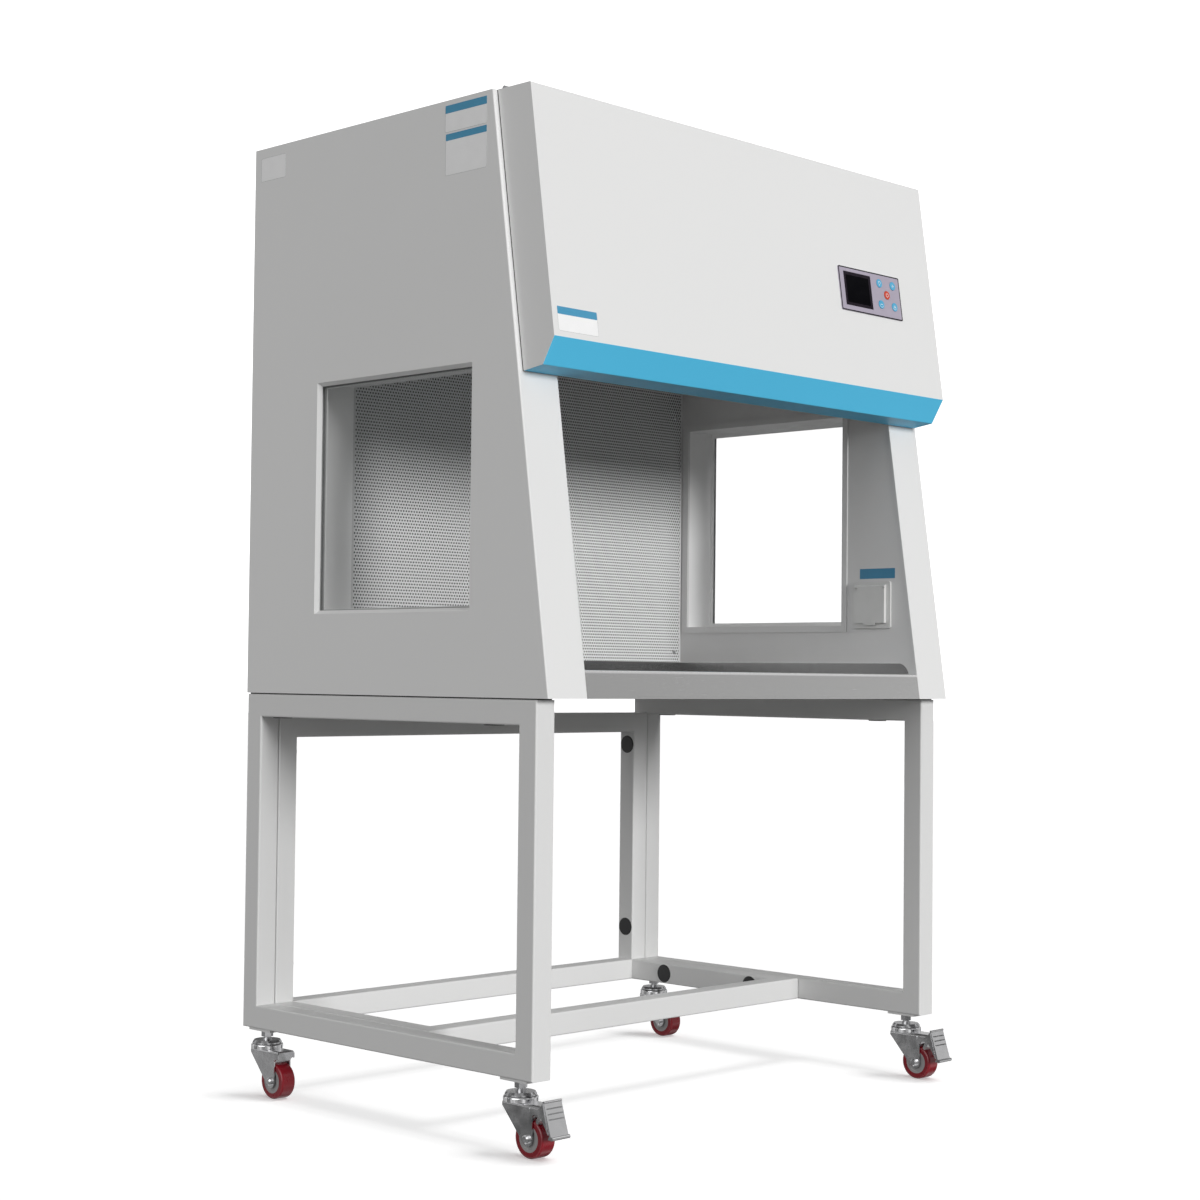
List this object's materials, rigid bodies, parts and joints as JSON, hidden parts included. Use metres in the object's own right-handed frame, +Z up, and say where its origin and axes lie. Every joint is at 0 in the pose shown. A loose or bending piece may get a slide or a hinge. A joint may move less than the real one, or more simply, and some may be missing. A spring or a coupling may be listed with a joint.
{
  "type": "laminar flow cabinet",
  "caption": "Horizontal laminar flow cabinet on a wheeled tube stand, with a perforated rear diffuser, side windows, a hinged control hood and a blower and filter inside.",
  "frame": {"origin": "on the floor, under the middle of the whole object in width and depth", "axes": "+X to the operator's right, +Y from the work opening to the rear cover, +Z up"},
  "size_m": [1.053, 0.785, 1.6824],
  "materials": {
    "white_powder_coat": "satin powder coat",
    "hood_powder_coat": "satin powder coat",
    "inner_powder_coat": "satin powder coat",
    "frame_powder_coat": "satin powder coat",
    "zinc_steel": "zinc plated",
    "black_plastic": "matt",
    "black_rubber": "matt",
    "clear_glass": "polished",
    "filter_fabric": "matt paper",
    "brushed_stainless": "brushed lengthwise",
    "filter_aluminium": "mill finish",
    "galvanised_steel": "galvanised",
    "lamp_plastic": "diffusing",
    "white_plastic": "semi-gloss",
    "chrome_plate": "polished",
    "bezel_plastic": "semi-gloss film",
    "display_gloss": "glossy",
    "circuit_board": "lacquered",
    "red_button": "glossy",
    "blue_button": "glossy",
    "impeller_plastic": "matt",
    "cast_aluminium": "as cast",
    "red_polyurethane": "semi-gloss polyurethane",
    "grey_hub_plastic": "moulded"
  },
  "bodies": {
    "cabinet": {"left_side_frame": "frame_powder_coat", "right_side_frame": "frame_powder_coat", "cross_frame": "frame_powder_coat", "frame_bolts": "zinc_steel", "frame_plugs": "black_plastic", "cabinet_pads": "black_rubber", "left_side_panel": "white_powder_coat", "right_side_panel": "white_powder_coat", "left_inner_wall": "inner_powder_coat", "right_inner_wall": "inner_powder_coat", "window_panes": "clear_glass", "window_gaskets": "black_rubber", "rear_cover": "white_powder_coat", "top_cover": "white_powder_coat", "intake_grille": "white_powder_coat", "prefilter": "filter_fabric", "base_panel": "white_powder_coat", "work_surface": "brushed_stainless", "fan_deck": "inner_powder_coat", "diffuser_plate": "inner_powder_coat", "panel_screws": "zinc_steel", "hepa_frame": "filter_aluminium", "hepa_media": "filter_fabric", "blower_housing": "galvanised_steel", "motor_mount": "galvanised_steel", "led_lamp": "lamp_plastic", "uv_lamp": "clear_glass", "socket_plate": "white_plastic", "socket_insert": "black_plastic", "power_inlet": "black_plastic", "hood_seal": "black_rubber", "hood_hinge_bases": "zinc_steel", "caster_stems": "chrome_plate"},
    "hood": {"hood_shell": "hood_powder_coat", "hood_hinge_flaps": "zinc_steel", "control_bezel": "bezel_plastic", "display": "display_gloss", "control_board": "circuit_board"},
    "blower_wheel": {"blower_impeller": "impeller_plastic", "motor_rotor": "cast_aluminium"},
    "socket_lid": {"socket_cover": "white_plastic"},
    "power_button": {"button_power": "red_button"},
    "light_button": {"button_light": "blue_button"},
    "uv_button": {"button_uv": "blue_button"},
    "slower_button": {"button_slower": "blue_button"},
    "faster_button": {"button_faster": "blue_button"},
    "rear_left_swivel": {"rear_left_fork": "chrome_plate"},
    "rear_left_wheel": {"rear_left_tread": "red_polyurethane", "rear_left_hub": "grey_hub_plastic"},
    "rear_right_swivel": {"rear_right_fork": "chrome_plate"},
    "rear_right_wheel": {"rear_right_tread": "red_polyurethane", "rear_right_hub": "grey_hub_plastic"},
    "front_left_swivel": {"front_left_fork": "chrome_plate"},
    "front_left_wheel": {"front_left_tread": "red_polyurethane", "front_left_hub": "grey_hub_plastic"},
    "front_left_brake": {"front_left_pedal": "chrome_plate"},
    "front_right_swivel": {"front_right_fork": "chrome_plate"},
    "front_right_wheel": {"front_right_tread": "red_polyurethane", "front_right_hub": "grey_hub_plastic"},
    "front_right_brake": {"front_right_pedal": "chrome_plate"}
  },
  "joints": [
    {"name": "hood_hinge", "type": "hinge", "parent": "cabinet", "child": "hood", "pos_m": [0, -0.2365, 1.6784], "axis": [-1, 0, 0], "range_deg": [0, 75]},
    {"name": "blower_spin", "type": "hinge", "parent": "cabinet", "child": "blower_wheel", "pos_m": [0, 0.2305, 1.501], "axis": [-1, 0, 0], "continuous": true},
    {"name": "power_button_press", "type": "slide", "parent": "hood", "child": "power_button", "axis": [0, 0.9894, -0.1451], "range_m": [0, 0.0007], "stiffness_N_per_m": 400, "springref_m": -0.001},
    {"name": "light_button_press", "type": "slide", "parent": "hood", "child": "light_button", "axis": [0, 0.9894, -0.1451], "range_m": [0, 0.0007], "stiffness_N_per_m": 400, "springref_m": -0.001},
    {"name": "uv_button_press", "type": "slide", "parent": "hood", "child": "uv_button", "axis": [0, 0.9894, -0.1451], "range_m": [0, 0.0007], "stiffness_N_per_m": 400, "springref_m": -0.001},
    {"name": "slower_button_press", "type": "slide", "parent": "hood", "child": "slower_button", "axis": [0, 0.9894, -0.1451], "range_m": [0, 0.0007], "stiffness_N_per_m": 400, "springref_m": -0.001},
    {"name": "faster_button_press", "type": "slide", "parent": "hood", "child": "faster_button", "axis": [0, 0.9894, -0.1451], "range_m": [0, 0.0007], "stiffness_N_per_m": 400, "springref_m": -0.001},
    {"name": "socket_lid_flip", "type": "hinge", "parent": "cabinet", "child": "socket_lid", "pos_m": [0.4282, -0.2645, 0.915], "axis": [0, 1, 0], "range_deg": [0, 100]},
    {"name": "rear_left_swivel_turn", "type": "hinge", "parent": "cabinet", "child": "rear_left_swivel", "pos_m": [-0.4985, 0.3445, 0.084], "axis": [0, 0, 1], "continuous": true},
    {"name": "rear_left_wheel_roll", "type": "hinge", "parent": "rear_left_swivel", "child": "rear_left_wheel", "pos_m": [-0.4985, 0.3115, 0.031], "axis": [1, 0, 0], "continuous": true},
    {"name": "rear_right_swivel_turn", "type": "hinge", "parent": "cabinet", "child": "rear_right_swivel", "pos_m": [0.4985, 0.3445, 0.084], "axis": [0, 0, 1], "continuous": true},
    {"name": "rear_right_wheel_roll", "type": "hinge", "parent": "rear_right_swivel", "child": "rear_right_wheel", "pos_m": [0.4985, 0.3115, 0.031], "axis": [1, 0, 0], "continuous": true},
    {"name": "front_left_swivel_turn", "type": "hinge", "parent": "cabinet", "child": "front_left_swivel", "pos_m": [-0.4985, -0.3015, 0.084], "axis": [0, 0, 1], "continuous": true},
    {"name": "front_left_wheel_roll", "type": "hinge", "parent": "front_left_swivel", "child": "front_left_wheel", "pos_m": [-0.4985, -0.3345, 0.031], "axis": [1, 0, 0], "continuous": true},
    {"name": "front_left_brake_pedal", "type": "hinge", "parent": "front_left_swivel", "child": "front_left_brake", "pos_m": [-0.4985, -0.3655, 0.077], "axis": [-1, 0, 0], "range_deg": [0, 25]},
    {"name": "front_right_swivel_turn", "type": "hinge", "parent": "cabinet", "child": "front_right_swivel", "pos_m": [0.4985, -0.3015, 0.084], "axis": [0, 0, 1], "continuous": true},
    {"name": "front_right_wheel_roll", "type": "hinge", "parent": "front_right_swivel", "child": "front_right_wheel", "pos_m": [0.4985, -0.3345, 0.031], "axis": [1, 0, 0], "continuous": true},
    {"name": "front_right_brake_pedal", "type": "hinge", "parent": "front_right_swivel", "child": "front_right_brake", "pos_m": [0.4985, -0.3655, 0.077], "axis": [-1, 0, 0], "range_deg": [0, 25]}
  ]
}
